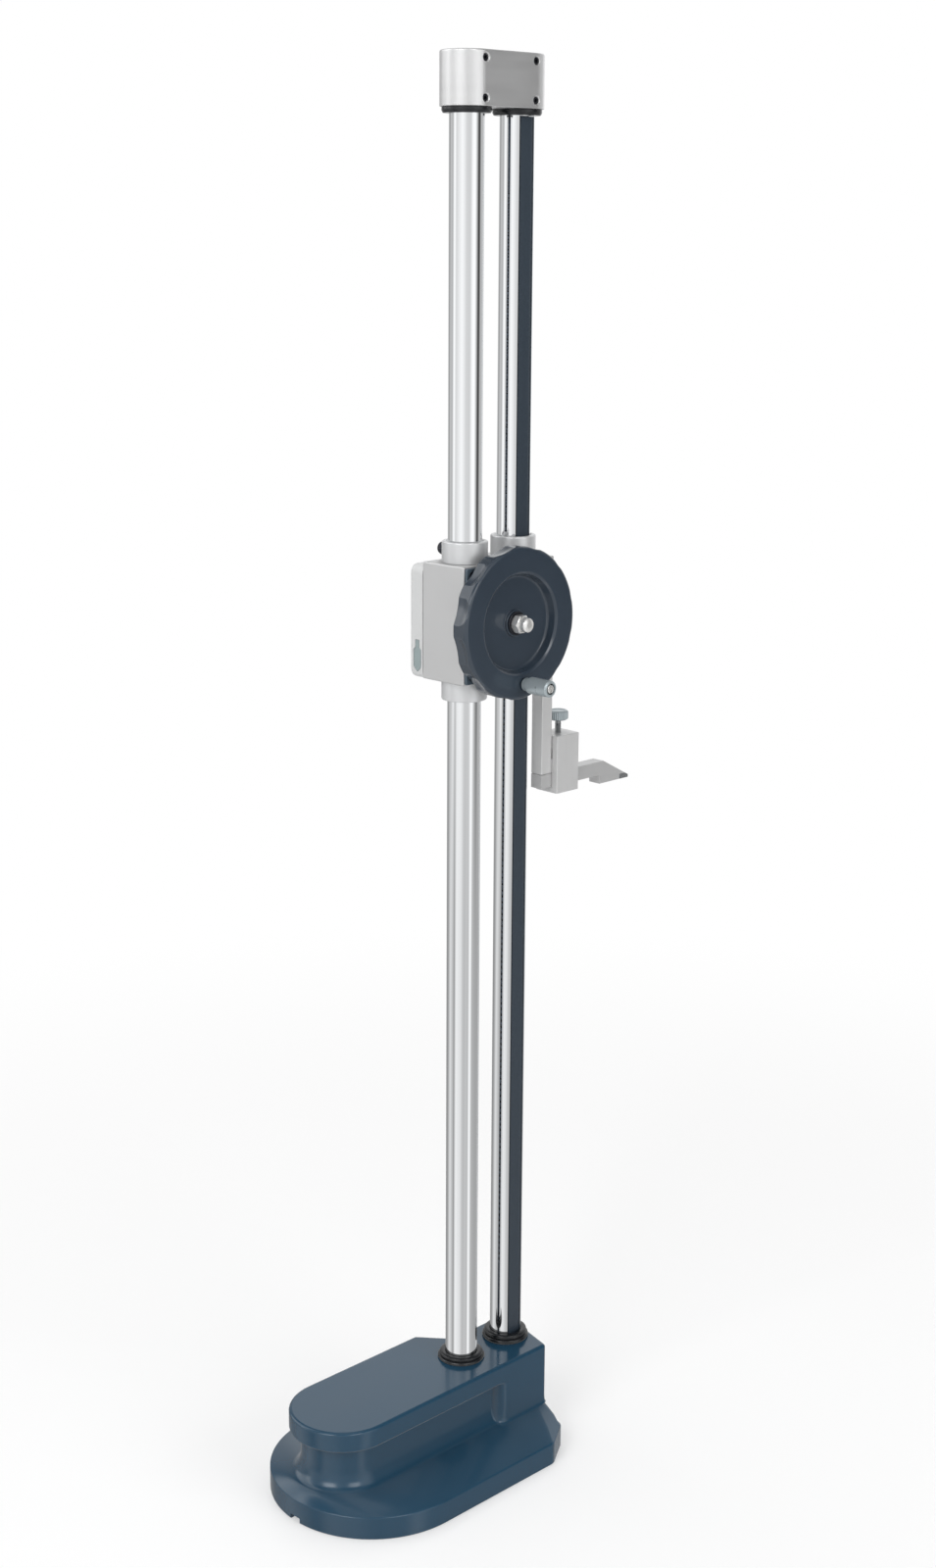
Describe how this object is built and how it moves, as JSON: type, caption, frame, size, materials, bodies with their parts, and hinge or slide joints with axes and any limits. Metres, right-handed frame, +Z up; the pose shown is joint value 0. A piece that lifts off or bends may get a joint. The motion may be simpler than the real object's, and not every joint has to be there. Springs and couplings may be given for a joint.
{
  "type": "electronic height gauge",
  "caption": "Digital height gauge: slider with handwheel, display and clamped scriber on two round columns over a heavy foot.",
  "frame": {"origin": "on the underside of the base, midway between the two columns' axes", "axes": "+X along the scriber, +Y towards the display, -Y towards the handwheel, +Z up the columns"},
  "size_m": [0.2717, 0.13, 0.856],
  "materials": {
    "paint": "gloss blue-grey paint",
    "black_steel": "black oxide",
    "column_chrome": "hard chrome, polished",
    "rack_steel": "milled steel",
    "scale_dark": "dark glass-fibre scale",
    "black_rubber": "semi-gloss black",
    "head_silver": "satin chrome plated",
    "body_silver": "fine satin",
    "bush_silver": "satin chromed, turned",
    "cover_black": "dark blue-black, semi-gloss",
    "wheel_black": "dark blue-black moulded plastic",
    "board": "green circuit board",
    "holder_black": "black moulding",
    "bronze": "plain bronze",
    "arm_steel": "ground steel",
    "carbide": "ground hard metal",
    "display_grey": "light grey moulding",
    "window": "clear",
    "crystal": "grey-green crystal panel",
    "cell": "nickelled",
    "cover_grey": "dark grey moulding",
    "port_grey": "blue-grey rubbery plastic",
    "shaft_steel": "ground steel",
    "bright": "bright nickel",
    "knob_grey": "grey satin"
  },
  "bodies": {
    "frame": {"base_casting": "paint", "column_bolt_front": "black_steel", "column_bolt_rear": "black_steel", "column_front": "column_chrome", "column_rear": "column_chrome", "rack_strip": "rack_steel", "scale_strip": "scale_dark", "base_ring_front": "black_rubber", "base_ring_rear": "black_rubber", "head_cap": "head_silver", "head_set_screw_1": "black_steel", "head_set_screw_2": "black_steel", "head_set_screw_3": "black_steel", "head_set_screw_4": "black_steel", "stop_ring_front": "black_rubber", "stop_ring_rear": "black_rubber"},
    "slider": {"slider_body": "body_silver", "guide_bush_front_top": "bush_silver", "guide_bush_front_bottom": "bush_silver", "guide_bush_rear_top": "bush_silver", "guide_bush_rear_bottom": "bush_silver", "cover_plate": "cover_black", "sensor_board": "board", "sensor_holder": "holder_black", "shaft_bush_front": "bronze", "shaft_bush_rear": "bronze", "lock_pad": "bronze", "jaw_arm": "arm_steel", "arm_screw_1": "black_steel", "arm_screw_2": "black_steel", "display_housing": "display_grey", "display_screw_1": "black_steel", "display_screw_2": "black_steel", "display_screw_3": "black_steel", "display_screw_4": "black_steel", "display_window": "window", "crystal_panel": "crystal", "main_board": "board", "coin_cell": "cell", "data_port": "holder_black"},
    "wheel": {"handwheel": "wheel_black", "pinion_shaft": "shaft_steel", "wheel_washer": "bright", "cap_nut": "bright", "knob_screw": "bright"},
    "crank_knob": {"crank_knob": "knob_grey"},
    "lock_knob": {"lock_knob": "black_steel"},
    "clamp": {"clamp_box": "arm_steel"},
    "clamp_screw": {"clamp_screw": "black_steel"},
    "scriber": {"scriber_bar": "arm_steel", "carbide_tip": "carbide"},
    "battery_cover": {"battery_cover": "cover_grey"},
    "port_cover": {"port_cover": "port_grey"},
    "key_1": {"key_1": "cover_grey"},
    "key_2": {"key_2": "cover_grey"},
    "key_3": {"key_3": "cover_grey"},
    "key_4": {"key_4": "cover_grey"},
    "key_5": {"key_5": "cover_grey"},
    "key_6": {"key_6": "cover_grey"}
  },
  "joints": [
    {"name": "slider_slide", "type": "slide", "parent": "frame", "child": "slider", "axis": [0, 0, 1], "range_m": [-0.421, 0.236]},
    {"name": "wheel_spin", "type": "hinge", "parent": "slider", "child": "wheel", "pos_m": [-0.00385, 0, 0.5375], "axis": [0, -1, 0], "range_deg": [-3225, 1810]},
    {"name": "knob_spin", "type": "hinge", "parent": "wheel", "child": "crank_knob", "pos_m": [-0.00032, -0.04, 0.50147], "axis": [0, -1, 0], "continuous": true},
    {"name": "lock_turn", "type": "hinge", "parent": "slider", "child": "lock_knob", "pos_m": [-0.02, 0.018, 0.57855], "axis": [0, -1, 0], "range_deg": [0, 90]},
    {"name": "clamp_slide", "type": "slide", "parent": "slider", "child": "clamp", "axis": [1, 0, 0], "range_m": [0, 0.005]},
    {"name": "clamp_turn", "type": "hinge", "parent": "clamp", "child": "clamp_screw", "pos_m": [0.0555, -0.0056, 0.465], "axis": [0, 0, 1], "range_deg": [0, 180]},
    {"name": "scriber_slide", "type": "slide", "parent": "slider", "child": "scriber", "axis": [1, 0, 0], "range_m": [0, 0.02]},
    {"name": "battery_cover_turn", "type": "hinge", "parent": "slider", "child": "battery_cover", "pos_m": [0.02, 0.028, 0.521], "axis": [0, 1, 0], "range_deg": [0, 45]},
    {"name": "port_cover_pull", "type": "slide", "parent": "slider", "child": "port_cover", "axis": [-1, 0, 0], "range_m": [0, 0.006]},
    {"name": "key_1_press", "type": "slide", "parent": "slider", "child": "key_1", "axis": [0, -1, 0], "range_m": [0, 0.0006], "stiffness_N_per_m": 1000, "springref_m": -0.0005},
    {"name": "key_2_press", "type": "slide", "parent": "slider", "child": "key_2", "axis": [0, -1, 0], "range_m": [0, 0.0006], "stiffness_N_per_m": 1000, "springref_m": -0.0005},
    {"name": "key_3_press", "type": "slide", "parent": "slider", "child": "key_3", "axis": [0, -1, 0], "range_m": [0, 0.0006], "stiffness_N_per_m": 1000, "springref_m": -0.0005},
    {"name": "key_4_press", "type": "slide", "parent": "slider", "child": "key_4", "axis": [0, -1, 0], "range_m": [0, 0.0006], "stiffness_N_per_m": 1000, "springref_m": -0.0005},
    {"name": "key_5_press", "type": "slide", "parent": "slider", "child": "key_5", "axis": [0, -1, 0], "range_m": [0, 0.0006], "stiffness_N_per_m": 1000, "springref_m": -0.0005},
    {"name": "key_6_press", "type": "slide", "parent": "slider", "child": "key_6", "axis": [0, -1, 0], "range_m": [0, 0.0006], "stiffness_N_per_m": 1000, "springref_m": -0.0005}
  ],
  "couplings": [
    {"joint": "wheel_spin", "follows": "slider_slide", "rad_per_m": 133.33}
  ]
}
